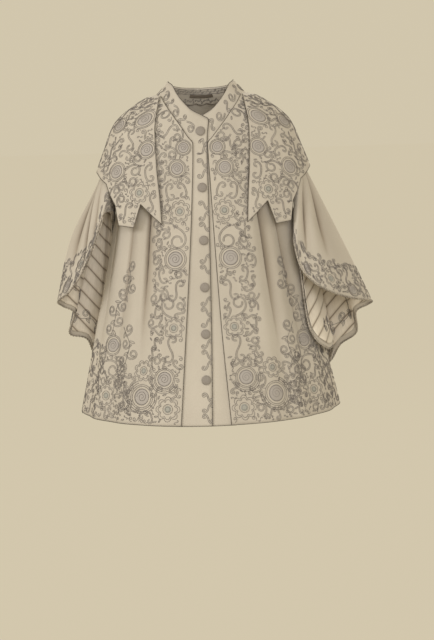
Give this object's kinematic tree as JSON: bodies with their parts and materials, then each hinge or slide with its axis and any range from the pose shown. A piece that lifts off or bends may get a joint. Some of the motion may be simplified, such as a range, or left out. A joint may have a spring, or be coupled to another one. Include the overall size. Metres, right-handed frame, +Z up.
{
  "type": "opera cloak",
  "caption": "Hip-length cream wool opera cloak, hollow and filled out: braided fronts over a button stand, a shoulder cape with a tabbed edge, and wide lined bell sleeves.",
  "frame": {"origin": "centre of the neck opening, level with the highest points of the neckband at the shoulders, where the cloak is held", "axes": "+Z up, -Y out of the front, +X to the wearer's left, which is the viewer's right from the front"},
  "size_m": [0.7827, 0.4709, 0.818],
  "materials": {
    "cream_wool": "matte felted wool",
    "sleeve_silk": "soft silk sheen",
    "grey_braid": "matte corded braid",
    "loop_tape": "matte woven tape"
  },
  "bodies": {
    "root": {"back": "cream_wool", "front_right": "cream_wool", "front_left": "cream_wool", "band_right": "cream_wool", "band_left": "cream_wool", "neck_facing": "cream_wool", "cape_right": "cream_wool", "cape_left": "cream_wool", "sleeve_right": "cream_wool", "sleeve_left": "cream_wool", "lining_right": "sleeve_silk", "lining_left": "sleeve_silk", "button_1": "grey_braid", "button_2": "grey_braid", "button_3": "grey_braid", "button_4": "grey_braid", "button_5": "grey_braid", "button_6": "grey_braid", "hang_loop": "loop_tape"}
  },
  "joints": []
}
